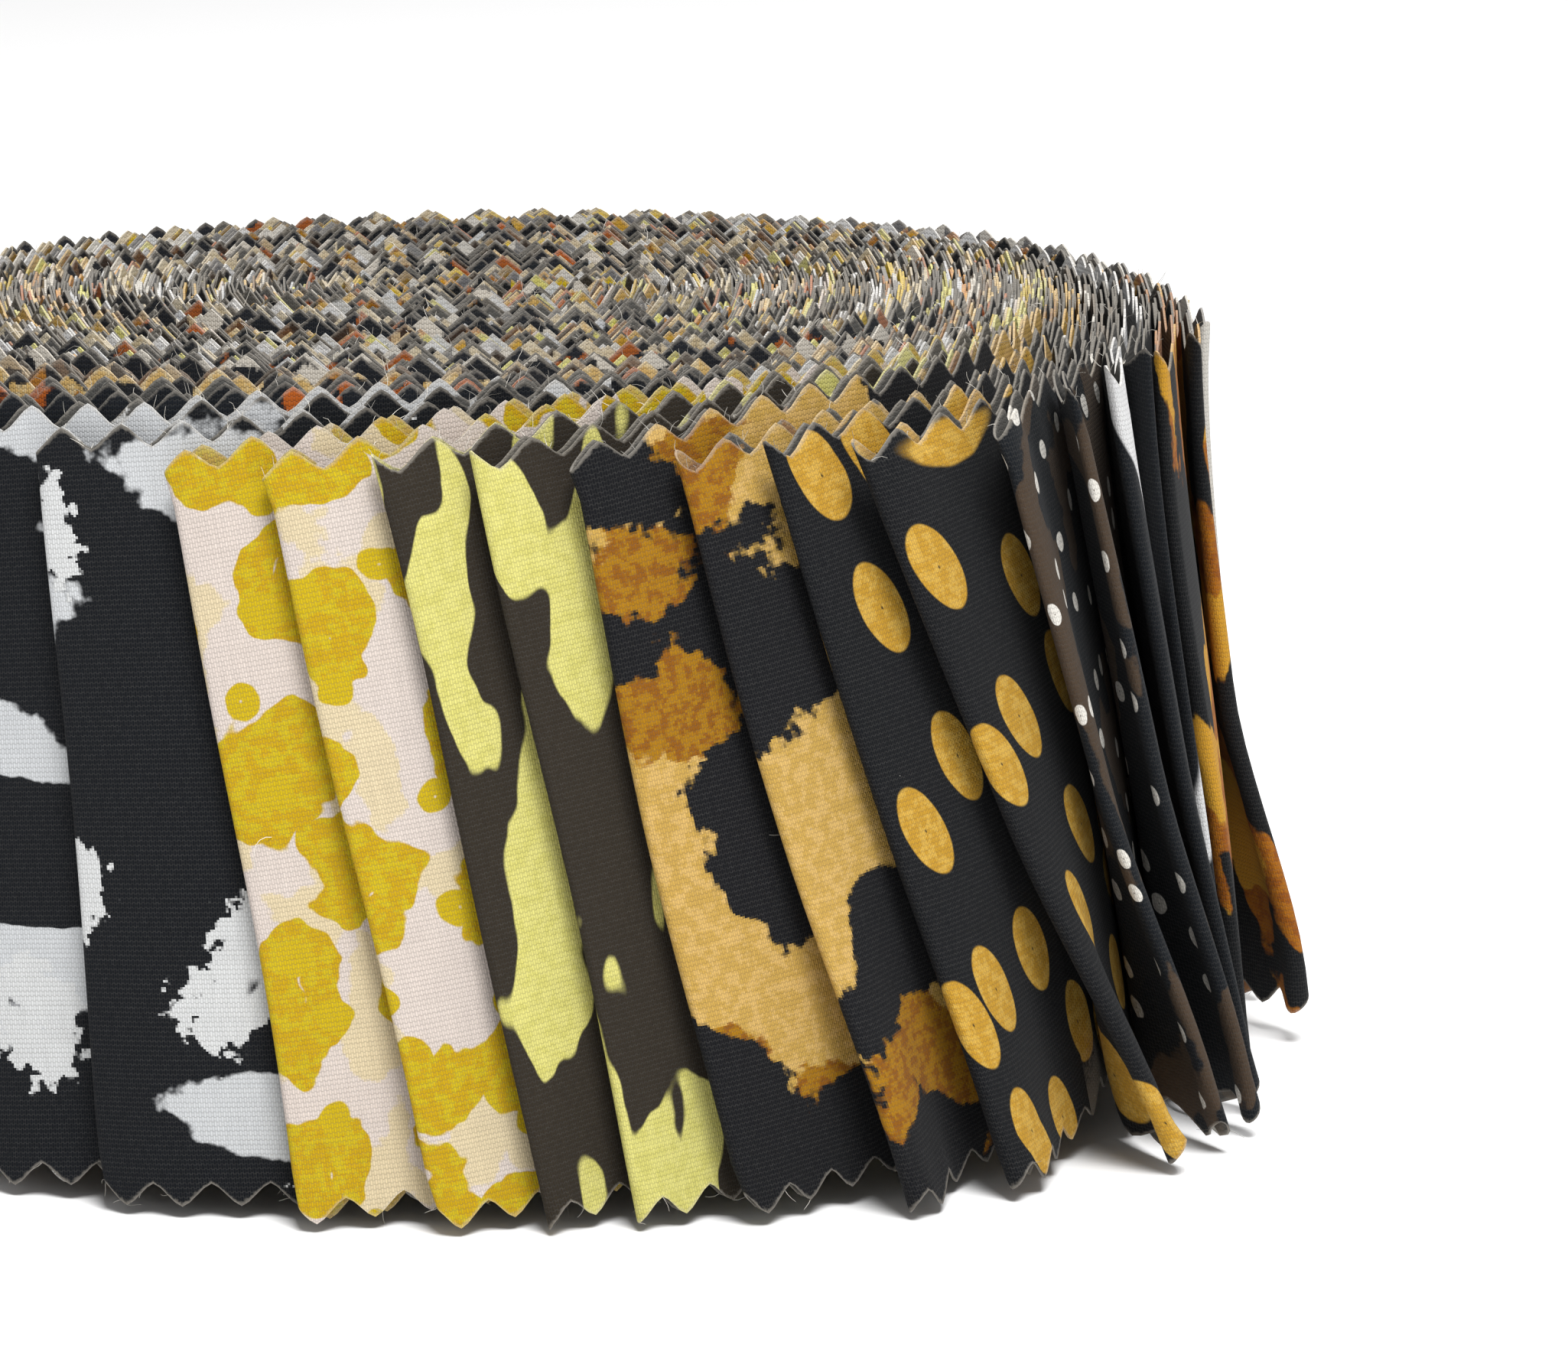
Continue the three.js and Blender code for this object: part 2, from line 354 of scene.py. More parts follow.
RIPPLES = (Wave(0.10, 6.1, 0, 2.2), Wave(0.07, 3.3, 1, -3.1))
CURLS = (Wave(1.0, 2.9, 2), Wave(0.8, 7.7, 3))
DRIFTS = (Wave(0.3, 31.0, 4), Wave(0.22, 13.0, 5))


# Where some strips are cut from their cloth, along and across it in millimetres, by strip.
CUT_PLACES = {
    11: (190.0, 0.0), 12: (361.0, 0.0), 15: (251.5, 0.0), 16: (287.7, 0.0),
    17: (180.6, -12.0), 18: (303.0, -6.0), 19: (291.0, -5.0), 20: (358.0, -6.0),
    23: (177.5, 0.0), 24: (272.0, 0.0), 25: (178.0, 0.0), 26: (246.0, 0.0),
}


@dataclass
class FoldedStrip:
    """One cotton strip, folded in half across its length and wound into the bundle."""

    index: int
    winding: Winding
    cloth: "PrintedCloth"
    ply: float = 0.19
    tooth_pitch: float = 4.7
    tooth_height: float = 1.9
    tooth_round: float = 0.65
    first_nesting: float = 40.0
    edge_band: float = 4.4
    near_length: float = 18.0
    front_length: float = 80.0
    face_rows: int = 20
    near_columns: int = 8
    far_columns: int = 4
    bend_columns: int = 9
    bend_margin: float = 0.15
    measure_step: float = 0.25
    lip_close: float = 0.3
    flare_level: float = 0.5
    stand_depths: tuple[float, float] = (0.12, 0.85)
    ripple_share: float = 1.2
    curl_share: float = 0.16
    curl_power: int = 8
    stray_place: float = 3.0
    slip_spread: float = 0.38
    phase_spread: float = 0.09
    turned_share: float = 0.3
    nesting_spread: float = 0.2
    seed: int = 400

    def __post_init__(self) -> None:
        """Seed the strip's own unevenness and measure its cloth."""
        self.fold = self.winding.folds[self.index]
        rng = np.random.default_rng(self.seed + self.index)
        self.waves = rng.uniform(0, 2 * np.pi, 12)
        self.slip = float(rng.normal(0, self.slip_spread))
        self.tooth_phase = float(rng.normal(0, self.phase_spread))
        self.tooth_phase += 0.5 * float(rng.random() < self.turned_share)
        self.nesting = float(rng.normal(0, self.nesting_spread))
        strip = self.fold.strip
        self.bolt_place = CUT_PLACES.get(strip, (600.0 + 311.0 * strip, 97.0 * strip))
        self.bend = self.fold.radius * math.pi / 2
        self.table = self.path_lengths()
        self.cloth_length = float(self.table[1][-1]) + self.bend - self.fold.radius

    @property
    def name(self) -> str:
        """Return the piece's name."""
        return f"cloth_strip_{self.fold.strip:02d}"

    def path_lengths(self) -> tuple[np.ndarray, np.ndarray]:
        """Measure the strip's middle surface from the fold inward.

        Returns:
            Distances along the rim and the true lengths of cloth up to them.
        """
        behind = np.arange(0.0, MOST_TURNS * self.winding.rim_length, 0.5)
        points, _, depth = self.winding.surface(self.index, 0.5, behind)
        lengths = np.concatenate([[0.0], np.cumsum(np.hypot(*np.diff(points, axis=0).T))])
        keep = depth <= self.winding.last_depth()
        return behind[keep], lengths[keep]

    def tooth_count(self, away: np.ndarray, side: int) -> np.ndarray:
        """Count the teeth from the fold to places along one ply.

        In the wound form the teeth of neighbouring strips nest, at the front and at the back.

        Args:
            away: Lengths of cloth from the fold.
            side: 1 on the outer ply and -1 on the inner one.

        Returns:
            Numbers of teeth, whole at the points.
        """
        behind, lengths = self.table
        half = self.winding.rim_length / 2
        fold = self.winding.fold_at(self.index, 0.5)
        first = math.ceil(fold / half)
        crossings = np.arange(first, first + 2 * MOST_TURNS) * half - fold
        crossings = crossings[crossings < behind[-1]]
        lengths = np.interp(crossings, behind, lengths)
        lengths = lengths[lengths > self.first_nesting]
        plain = lengths / self.tooth_pitch + side * self.tooth_phase
        shifts = np.mod(self.nesting + 0.5 - plain, 1.0) - 0.5
        places = np.concatenate([[0.0, self.first_nesting / 4], lengths])
        shift = np.interp(away, places, np.concatenate([[0.0, 0.0], shifts]))
        return away / self.tooth_pitch + side * self.tooth_phase + shift

    def tooth_cut(self, along: np.ndarray) -> np.ndarray:
        """Find how deep the pinking cuts at each place along the cloth.

        Args:
            along: Lengths of cloth from the fold, negative on the inner ply.

        Returns:
            The depth of the cut, 0 at a point and tooth_height in a notch.
        """
        away = np.abs(along)
        outer, inner = (self.tooth_count(away, side) for side in (1, -1))
        share = np.mod(np.where(along < 0, inner, outer), 1.0)
        slope = 1 - np.abs(2 * share - 1)
        smooth = slope * slope * (3 - 2 * slope)
        return self.tooth_height * (slope + self.tooth_round * (smooth - slope))

    def stations(self) -> np.ndarray:
        """Choose where the cloth has its columns of points.

        Returns:
            Lengths of cloth from the fold, from the inner ply's raw end to the outer one's.
        """
        away = np.arange(0.0, self.cloth_length, self.measure_step)
        sides = []
        for side in (-1, 1):
            counts = self.tooth_count(away, side)
            middle = float(np.interp(self.front_length, away, counts))
            parts = []
            for first, last, density in ((counts[0], middle, self.near_columns),
                                         (middle, counts[-1], self.far_columns)):
                parts.append(np.arange(math.ceil(first * density), last * density) / density)
            steps = np.interp(np.concatenate(parts), counts, away)
            keep = (steps > self.bend + self.bend_margin) & (steps < self.cloth_length)
            sides.append(side * steps[keep])
        bend = np.linspace(-self.bend, self.bend, self.bend_columns)
        return np.concatenate([sides[0][::-1], bend, sides[1]])

    def row(self, level: float, along: np.ndarray) -> np.ndarray:
        """Place one row of points along the cloth.

        Args:
            level: Share of the strip's width.
            along: Lengths of cloth from the fold.

        Returns:
            Points in millimetres.
        """
        fold, radius, bend = self.fold, self.fold.radius, self.bend
        away = np.abs(along)
        turned = np.minimum(away / radius, math.pi / 2)
        length = np.where(away < bend, radius * (1 - np.cos(turned)), radius + away - bend)
        behind = np.interp(length, self.table[1], self.table[0])
        points, normal, depth = self.winding.surface(self.index, level, behind)
        gap = self.winding.ply_gap(fold, depth, normal)
        gap = gap * (1 - self.lip_close * level * np.exp(-2 * depth))
        side = np.sign(along) * np.where(away < bend, np.sin(turned), 1.0)
        waist = 1 - fold.waist * math.sin(math.pi * level)
        flare = fold.flare * (1 - float(blend(np.array(level), 0.0, self.flare_level)))
        stand = (fold.stand * waist + flare) * (1 - blend(depth, *self.stand_depths))
        ripple, curl, drift = (sum(wave.at(along, level, self.waves) for wave in waves)
                               for waves in (RIPPLES, CURLS, DRIFTS))
        edge = abs(2 * level - 1) ** self.curl_power
        offset = side * gap / 2 + stand - radius
        offset += gap * (ripple * self.ripple_share + self.curl_share * edge * curl)
        points = points + normal * offset[:, None]
        settle = 1 - np.exp(-depth / self.winding.rise_strips)
        low = fold.low + (self.winding.middle_rise - fold.low) * settle
        top = self.winding.middle_rise + self.winding.strip_width
        high = fold.high + (top - fold.high) * settle
        lift = (self.slip + drift) * settle
        height = low + (high - low) * level + lift
        return self.winding.slumped(np.column_stack([points, height]))

    def build(self) -> bpy.types.Object:
        """Make the strip's mesh.

        Returns:
            The new piece, with its place in its mesh, in metres.
        """
        along = self.stations()
        band = self.edge_band / self.winding.strip_width
        levels = [0.0, *np.linspace(band, 1 - band, self.face_rows - 1).tolist(), 1.0]
        cuts = np.zeros((len(levels), len(along)))
        cuts[0] = self.tooth_cut(along)
        cuts[-1] = -cuts[0]
        grid = np.stack([self.row(level, along) for level in levels])
        grid[:, :, 2] += cuts
        return self._skin(grid, along, np.array(levels), cuts)

    def _skin(self, grid: np.ndarray, along: np.ndarray, levels: np.ndarray,
              cuts: np.ndarray) -> bpy.types.Object:
        """Give the middle surface its thickness and make it a mesh.

        Columns far from the fold keep only the foot, a band and the top.

        Args:
            grid: Points of the middle surface, by row and column.
            along: Lengths of cloth at the columns.
            levels: Levels of the rows.
            cuts: How far the pinking moves each point up or down.

        Returns:
            The new piece.
        """
        count = len(levels)
        fine = np.abs(along) <= self.near_length
        heights = levels[:, None] * self.winding.strip_width + cuts
        insides = np.minimum(levels, 1 - levels) * self.winding.strip_width
        insides = np.minimum(insides, self.edge_band)
        tangent = np.gradient(grid[:, :, :2], axis=1)
        size = np.maximum(np.linalg.norm(tangent, axis=2, keepdims=True), 1e-9)
        tangent = tangent / size
        normal = np.stack([tangent[:, :, 1], -tangent[:, :, 0], np.zeros(tangent.shape[:2])], 2)
        self.edge_roots = np.concatenate([
            np.hstack([grid[row], normal[row]]) for row in (0, count - 1)])
        outside = int(np.searchsorted(along, self.stray_place))
        middle = count // 2 + self.index % 5 - 2
        self.face_root = np.concatenate([grid[middle, outside], normal[middle, outside]])
        coarse_rows = (0, count - 2, count - 1)
        columns, vertices, uvs, sides, edges = [], [], [], [], []
        for face in (1, -1):
            ids = []
            for column in range(len(along)):
                rows = range(count) if fine[column] else coarse_rows
                ids.append({row: len(vertices) + i for i, row in enumerate(rows)})
                for row in rows:
                    point = grid[row, column] + normal[row, column] * (face * self.ply / 2)
                    vertices.append(point * MM)
                    uvs.append((along[column] + self.bolt_place[0],
                                heights[row, column] + self.bolt_place[1]))
                    sides.append(0.5 + 0.5 * face)
                    edges.append(insides[row])
            columns.append(ids)
        faces = []
        for face, ids in enumerate(columns):
            for here, after in zip(ids[:-1], ids[1:]):
                faces.extend(self._strips(here, after, coarse_rows, face == 0))
        for row in (0, count - 1):
            for column in range(len(along) - 1):
                quad = [columns[0][column][row], columns[0][column + 1][row],
                        columns[1][column + 1][row], columns[1][column][row]]
                faces.append(quad[::-1] if row == 0 else quad)
        for column, flip in ((0, True), (len(along) - 1, False)):
            for low, high in zip(coarse_rows[:-1], coarse_rows[1:]):
                quad = [columns[0][column][low], columns[0][column][high],
                        columns[1][column][high], columns[1][column][low]]
                faces.append(quad if flip else quad[::-1])
        return self._mesh(np.array(vertices), faces, np.array(uvs), sides, edges)

    @staticmethod
    def _strips(here: dict[int, int], after: dict[int, int], coarse: tuple[int, ...],
                flip: bool) -> Iterable[list[int]]:
        """Join two columns of one side of the cloth.

        Args:
            here: Vertex numbers of the first column by row.
            after: Vertex numbers of the next column by row.
            coarse: Rows that every column has.
            flip: Whether the faces turn the other way round.

        Yields:
            The faces between the columns.
        """
        rows = sorted(here) if len(here) == len(after) else coarse
        for low, high in zip(rows[:-1], rows[1:]):
            left = [here[row] for row in sorted(here) if low <= row <= high]
            right = [after[row] for row in sorted(after) if low <= row <= high]
            loop = left + right[::-1]
            yield loop[::-1] if flip else loop

    def _mesh(self, vertices: np.ndarray, faces: list[list[int]], uvs: np.ndarray,
              sides: list[float], edges: list[float]) -> bpy.types.Object:
        """Make the mesh object with its cloth coordinates.

        Args:
            vertices: Points in metres.
            faces: Vertex numbers of the faces.
            uvs: Place on the flat cloth of each vertex, in millimetres.
            sides: 1 on the printed side and 0 on the back.
            edges: Distance from a pinked edge, in millimetres.

        Returns:
            The new piece.
        """
        mesh = bpy.data.meshes.new(self.name)
        mesh.from_pydata(vertices.tolist(), [], faces)
        loops = np.empty(len(mesh.loops), dtype=np.int32)
        mesh.loops.foreach_get("vertex_index", loops)
        layer = mesh.uv_layers.new(name="Cloth")
        layer.data.foreach_set("uv", (uvs[loops] * MM).astype(np.float32).ravel())
        for name, values in (("printed_side", sides), ("edge_distance", edges)):
            attribute = mesh.attributes.new(name, "FLOAT", "POINT")
            attribute.data.foreach_set("value", np.array(values, dtype=np.float32))
        mesh.validate()
        return linked(self.name, mesh)

    def dress(self, piece: bpy.types.Object) -> None:
        """Give the piece its cloth, its shading and its place in the roll."""
        piece.data.materials.append(self.cloth.material())
        piece.data.shade_smooth()
        bpy.ops.object.select_all(action="DESELECT")
        piece.select_set(True)
        bpy.context.view_layer.objects.active = piece
        bpy.ops.object.shade_smooth_by_angle(angle=math.radians(50))
        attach(piece, BODY)
        nodes = [f"strip_end_{self.fold.strip:02d}"]
        if self.index == 0:
            nodes.append("roll")
        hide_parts(*nodes)


def shade(hex_code: str) -> tuple[float, float, float, float]:
    """Turn a colour as seen on a screen into the linear colour of a shader socket.

    Args:
        hex_code: Six hexadecimal digits.

    Returns:
        Red, green, blue and alpha.
    """
    parts = [int(hex_code[i:i + 2], 16) / 255 for i in (0, 2, 4)]
    linear = [c / 12.92 if c <= 0.04045 else ((c + 0.055) / 1.055) ** 2.4 for c in parts]
    return (*linear, 1.0)


class Graph:
    """A node tree with short calls to add and join its nodes."""

    def __init__(self, tree: bpy.types.NodeTree) -> None:
        """Keep the tree."""
        self.tree = tree

    def add(self, kind: str, inputs: dict | None = None, **settings: object) -> bpy.types.Node:
        """Add a node.

        Args:
            kind: Type name of the node, without its prefix.
            inputs: Values or output sockets by input name or number.
            settings: Properties of the node.

        Returns:
            The new node.
        """
        node = self.tree.nodes.new(f"ShaderNode{kind}")
        for name, value in settings.items():
            setattr(node, name, value)
        for key, value in (inputs or {}).items():
            if isinstance(value, bpy.types.NodeSocket):
                self.tree.links.new(value, node.inputs[key])
            else:
                node.inputs[key].default_value = value
        return node

    def math(self, operation: str, *values: object, clamp: bool = False) -> bpy.types.NodeSocket:
        """Work out a number from one, two or three others and return its socket."""
        inputs = dict(enumerate(values))
        return self.add("Math", inputs, operation=operation, use_clamp=clamp).outputs[0]

    def vector(self, operation: str, *values: object) -> bpy.types.NodeSocket:
        """Work out a vector from others and return its socket."""
        inputs = dict(enumerate(values))
        return self.add("VectorMath", inputs, operation=operation).outputs[0]

    def ramp(self, value: object, low: object, high: object) -> bpy.types.NodeSocket:
        """Map a value to a smooth step from 0 at low to 1 at high and return its socket."""
        inputs = {"Value": value, "From Min": low, "From Max": high}
        node = self.add("MapRange", inputs, interpolation_type="SMOOTHSTEP")
        return node.outputs["Result"]

    def mix(self, factor: object, first: object, second: object) -> bpy.types.NodeSocket:
        """Mix two colours by a factor and return the result's socket."""
        inputs = {0: factor, 6: first, 7: second}
        return self.add("Mix", inputs, data_type="RGBA").outputs[2]

    def noise(self, place: object, scale: float, detail: float,
              roughness: float = 0.5) -> bpy.types.Node:
        """Add soft noise at a place and return its node."""
        return self.add("TexNoise", {"Vector": place, "Scale": scale, "Detail": detail,
                                     "Roughness": roughness})

    def scaled(self, vector: object, factor: object) -> bpy.types.NodeSocket:
        """Scale a vector by a factor and return its socket."""
        node = self.add("VectorMath", {0: vector, "Scale": factor}, operation="SCALE")
        return node.outputs[0]

    def attribute(self, name: str) -> bpy.types.NodeSocket:
        """Read a number that the mesh keeps at its points and return its socket."""
        return self.add("Attribute", attribute_name=name).outputs["Fac"]

    def send(self, node: bpy.types.Node, sockets: dict[str, bpy.types.NodeSocket]) -> None:
        """Join sockets to the inputs of a node, by the inputs' names."""
        for label, socket in sockets.items():
            self.tree.links.new(socket, node.inputs[label])


class GroupShop:
    """Builds each shader node group once and hands it out."""

    @staticmethod
    def start(name: str, inputs: dict[str, object],
              outputs: dict[str, str]) -> tuple[Graph, object, bpy.types.Node]:
        """Start a group with its named sockets.

        Args:
            name: Name of the group.
            inputs: Default value, or None for a vector, by input name.
            outputs: Socket type by output name.

        Returns:
            The graph, what its input node gives by name, and its output node.
        """
        tree = bpy.data.node_groups.new(name, "ShaderNodeTree")
        for label, value in inputs.items():
            kind = "NodeSocketVector" if value is None else "NodeSocketFloat"
            socket = tree.interface.new_socket(label, in_out="INPUT", socket_type=kind)
            if value is not None:
                socket.default_value = value
        for label, kind in outputs.items():
            tree.interface.new_socket(label, in_out="OUTPUT", socket_type=kind)
        given = tree.nodes.new("NodeGroupInput").outputs
        return Graph(tree), given, tree.nodes.new("NodeGroupOutput")

    @classmethod
    @cache
    def place(cls) -> bpy.types.NodeTree:
        """Make the group that gives the place on the flat cloth in millimetres.

        Returns:
            A group with the plain place, the smooth place for clean prints, and the place
            stepped from thread to thread, which gives a frayed print its ragged rim.
        """
        graph, given, end = cls.start(
            "Cloth place", {"Thread": 0.3, "Seed": 0.0},
            {"Place": "NodeSocketVector", "Smooth": "NodeSocketVector",
             "Stepped": "NodeSocketVector"})
        uv = graph.add("UVMap", uv_map="Cloth").outputs[0]
        place = graph.scaled(uv, 1 / MM)
        seed = graph.add("CombineXYZ", {
            0: graph.math("MULTIPLY", given["Seed"], 137.0),
            1: graph.math("MULTIPLY", given["Seed"], 71.0)}).outputs[0]
        step = graph.math("MULTIPLY", given["Thread"], 0.5)
        thread = graph.add("CombineXYZ", {0: step, 1: step, 2: step}).outputs[0]
        moved = graph.vector("ADD", place, seed)
        stepped = graph.vector("SNAP", moved, thread)
        graph.send(end, {"Place": place, "Smooth": moved, "Stepped": stepped})
        return graph.tree

    @classmethod
    @cache
    def weave(cls) -> bpy.types.NodeTree:
        """Make the plain weave.

        Returns:
            A group with the threads' height, their uneven tone and the bare specks that the
            ink leaves between them.
        """
        graph, given, end = cls.start(
            "Plain weave", {"Place": None, "Thread": 0.3, "Bare": 0.5},
            {"Height": "NodeSocketFloat", "Tone": "NodeSocketFloat", "Speck": "NodeSocketFloat"})
        split = graph.add("SeparateXYZ", {0: given["Place"]})
        waves = []
        for axis, density in ((0, 2 * math.pi), (1, math.pi)):
            share = graph.math("DIVIDE", split.outputs[axis], given["Thread"])
            waves.append(graph.math("SINE", graph.math("MULTIPLY", share, density)))
        over = graph.math("MULTIPLY", waves[0], waves[1])
        over = graph.math("MULTIPLY_ADD", over, 2.0, 0.5, clamp=True)
        warp = graph.math("MULTIPLY", graph.math("ABSOLUTE", waves[0]), over)
        under = graph.math("SUBTRACT", 1.0, over)
        under = graph.math("MULTIPLY", under, 0.66)
        weft = graph.math("MULTIPLY", graph.math("ABSOLUTE", waves[1]), under)
        height = graph.math("ADD", warp, weft)
        tones = []
        for stretch in ((0.25, 3.6, 1.0), (3.6, 0.25, 1.0)):
            place = graph.vector("MULTIPLY", given["Place"], stretch)
            tones.append(graph.noise(place, 1.0, 1.0).outputs[0])
        tone = graph.math("MULTIPLY", graph.math("ADD", *tones), 0.5)
        bare = graph.noise(given["Place"], 2.1, 2.0)
        gap = graph.math("POWER", graph.math("SUBTRACT", 1.0, height, clamp=True), 3.0)
        speck = graph.math("MULTIPLY", gap, graph.math("MULTIPLY", bare.outputs[0], 0.8))
        speck = graph.math("MULTIPLY", speck, given["Bare"])
        graph.send(end, {"Height": height, "Tone": tone, "Speck": speck})
        return graph.tree

    @classmethod
    @cache
    def print_group(cls, kind: "PrintKind") -> bpy.types.NodeTree:
        """Make the group of one kind of animal-skin print.

        Args:
            kind: Which kind of print.

        Returns:
            A group whose output Mark is 1 where the mark's ink lies.
        """
        graph, given, end = cls.start(
            kind.value,
            {"Place": None, "Across": 8.0, "Up": 8.0, "Turn": 0.0, "Cover": 0.5, "Ragged": 0.6,
             "Frayed": 0.2, "Hollow": 0.0},
            {"Mark": "NodeSocketFloat"})
        size = graph.add("CombineXYZ", {
            0: given["Across"], 1: given["Up"], 2: 1.0}).outputs[0]
        turned = graph.add("VectorRotate", {
            "Vector": given["Place"], "Angle": given["Turn"]},
            rotation_type="Z_AXIS").outputs[0]
        place = graph.vector("DIVIDE", turned, size)
        shift = graph.noise(place, 1.3, 3.0).outputs["Color"]
        shift = graph.vector("SUBTRACT", shift, (0.5, 0.5, 0.5))
        place = graph.vector("ADD", place, graph.scaled(shift, given["Ragged"]))
        fine = graph.noise(given["Place"], 0.75, 2.0)
        centred = graph.math("SUBTRACT", fine.outputs[0], 0.5)
        rough = graph.math("MULTIPLY", centred, given["Frayed"])
        cover = graph.math("ADD", given["Cover"], rough)
        if kind is PrintKind.STRIPES:
            split = graph.add("SeparateXYZ", {0: place})
            wave = graph.math("SINE", graph.math("MULTIPLY", split.outputs[0], 2 * math.pi))
            breaks = graph.noise(place, 0.8, 1.0)
            level = graph.math("MULTIPLY_ADD", wave, 0.32, breaks.outputs[0])
            mark = graph.ramp(level, cover, graph.math("ADD", cover, 0.03))
        elif kind is PrintKind.CELLS:
            cells = graph.add("TexVoronoi", {"Vector": place, "Scale": 1.0},
                              feature="DISTANCE_TO_EDGE")
            gap = graph.math("MULTIPLY", cover, 0.3)
            mark = graph.ramp(cells.outputs["Distance"], gap, graph.math("ADD", gap, 0.02))
        elif kind is PrintKind.SPOTS:
            spots = graph.add("TexVoronoi", {"Vector": place, "Scale": 1.0, "Randomness": 0.62},
                              voronoi_dimensions="2D")
            distance = spots.outputs["Distance"]
            disc = graph.ramp(distance, graph.math("ADD", cover, 0.02), cover)
            core = graph.math("MULTIPLY", cover, given["Hollow"])
            hole = graph.ramp(distance, graph.math("ADD", core, 0.02), core)
            mark = graph.math("SUBTRACT", disc, hole, clamp=True)
        else:
            noise = graph.noise(place, 1.0, 1.5)
            mark = graph.ramp(noise.outputs[0], cover, graph.math("ADD", cover, 0.015))
        graph.send(end, {"Mark": mark})
        return graph.tree


class PrintKind(Enum):
    """The kinds of animal-skin print."""

    STRIPES = "Stripe print"
    CELLS = "Patch print"
    SPOTS = "Spot print"
    BLOTCHES = "Blotch print"


@dataclass(frozen=True)
class Motif:
    """One layer of a print: its kind, its size on the cloth in millimetres, and its ink."""

    kind: PrintKind
    ink: str
    across: float
    up: float
    cover: float
    ragged: float = 0.6
    frayed: float = 0.2
    turn: float = 0.0
    hollow: float = 0.0
    mottle: str = ""


@dataclass(frozen=True)
class CottonFinish:
    """What all the cottons share: the shares and colours of threads, back and cut edges, and the
    painted shade and light of the weave.
    """

    bare_ink: str = "c6c4c0"
    tone: tuple[float, float] = (0.36, 0.82)
    # Painted shade in the gaps between threads and painted light on their crowns: a factor on the
    # colour's value, taken from the threads' height.
    weave_shading: tuple[float, float] = (0.42, 0.67)
    back_ink: str = "b3afa6"
    back_share: float = 0.17
    rim_ink: str = "b5aea3"
    rim_share: float = 0.3
    fray_width: float = 0.9
    bump: float = 0.55
    bump_height: float = 0.00008
    roughness: float = 0.88
    specular: float = 0.12
    sheen: float = 0.02
    sheen_roughness: float = 0.5


@dataclass(frozen=True)
class PrintedCloth:
    """A printed quilting cotton: its ground colour and the motifs over it."""

    name: str
    ground: str
    motifs: tuple[Motif, ...]
    mottle: str = ""
    bare: float = 0.2
    thread: float = 0.39
    finish: CottonFinish = CottonFinish()

    @property
    def slot(self) -> str:
        """Return a slot name for this cloth, cloth_ and its name."""
        return f"cloth_{self.name}"

    def material(self) -> bpy.types.Material:
        """Make the cloth's material, or fetch it where it is made already.

        Returns:
            The material with its print, weave, back side and cut edges.
        """
        known = bpy.data.materials.get(f"cotton_{self.name}")
        if known:
            return known
        material = bpy.data.materials.new(f"cotton_{self.name}")
        material.use_nodes = True
        material.node_tree.nodes.clear()
        graph, finish = Graph(material.node_tree), self.finish
        seed = sum(ord(letter) for letter in self.name) % 23
        place = graph.add("Group", {"Seed": float(seed), "Thread": self.thread},
                          node_tree=GroupShop.place()).outputs
        weave = graph.add("Group", {
            "Place": place["Place"], "Thread": self.thread, "Bare": self.bare},
            node_tree=GroupShop.weave()).outputs
        colour = self._mottled(graph, place["Stepped"], shade(self.ground), self.mottle)
        for motif in self.motifs:
            mark = graph.add("Group", {
                "Place": place["Stepped" if motif.frayed > LEAST_FRAYED else "Smooth"],
                "Across": motif.across, "Up": motif.up, "Turn": math.radians(motif.turn),
                "Cover": motif.cover, "Ragged": motif.ragged, "Frayed": motif.frayed,
                "Hollow": motif.hollow}, node_tree=GroupShop.print_group(motif.kind)).outputs[0]
            ink = self._mottled(graph, place["Stepped"], shade(motif.ink), motif.mottle)
            colour = graph.mix(mark, colour, ink)
        bare = graph.mix(weave["Speck"], colour, shade(finish.bare_ink))
        # The value is the threads' uneven tone times the painted weave shading: painted shade in
        # the gaps between threads, painted light on their crowns.
        tone = graph.math("MULTIPLY_ADD", weave["Tone"], *finish.tone)
        weave_shading = graph.math("MULTIPLY_ADD", weave["Height"], *finish.weave_shading)
        tone = graph.math("MULTIPLY", tone, weave_shading)
        toned_and_shaded = graph.add("HueSaturation", {"Color": bare, "Value": tone}).outputs[0]
        back = graph.mix(finish.back_share, toned_and_shaded, shade(finish.back_ink))
        facing = graph.ramp(graph.attribute("printed_side"), 0.4, 0.9)
        cloth = graph.mix(facing, back, toned_and_shaded)
        fray = graph.noise(place["Place"], 2.4, 2.0).outputs[0]
        fray = graph.math("MULTIPLY", fray, finish.fray_width)
        edge = graph.attribute("edge_distance")
        rim = graph.math("SUBTRACT", 1.0, graph.ramp(edge, 0.05, fray))
        rim = graph.math("MULTIPLY", rim, finish.rim_share)
        bump = graph.add("Bump", {
            "Strength": finish.bump, "Distance": finish.bump_height, "Height": weave["Height"]})
        shader = graph.add("BsdfPrincipled", {
            "Base Color": graph.mix(rim, cloth, shade(finish.rim_ink)),
            "Roughness": finish.roughness, "Normal": bump.outputs[0],
            "Specular IOR Level": finish.specular, "Sheen Weight": finish.sheen,
            "Sheen Roughness": finish.sheen_roughness})
        graph.add("OutputMaterial", {"Surface": shader.outputs[0]})
        return material

    @staticmethod
    def _mottled(graph: Graph, place: object, colour: object, second: str) -> object:
        """Mottle a colour with a second one in soft flecks.

        Args:
            graph: The material's graph.
            place: Socket of the place on the cloth.
            colour: The main colour.
            second: Hexadecimal colour of the flecks, or nothing.

        Returns:
            The colour, or the socket of the mottled one.
        """
        if not second:
            return colour
        noise = graph.noise(place, 0.8, 4.0, 0.65)
        return graph.mix(graph.ramp(noise.outputs[0], 0.47, 0.56), colour, shade(second))


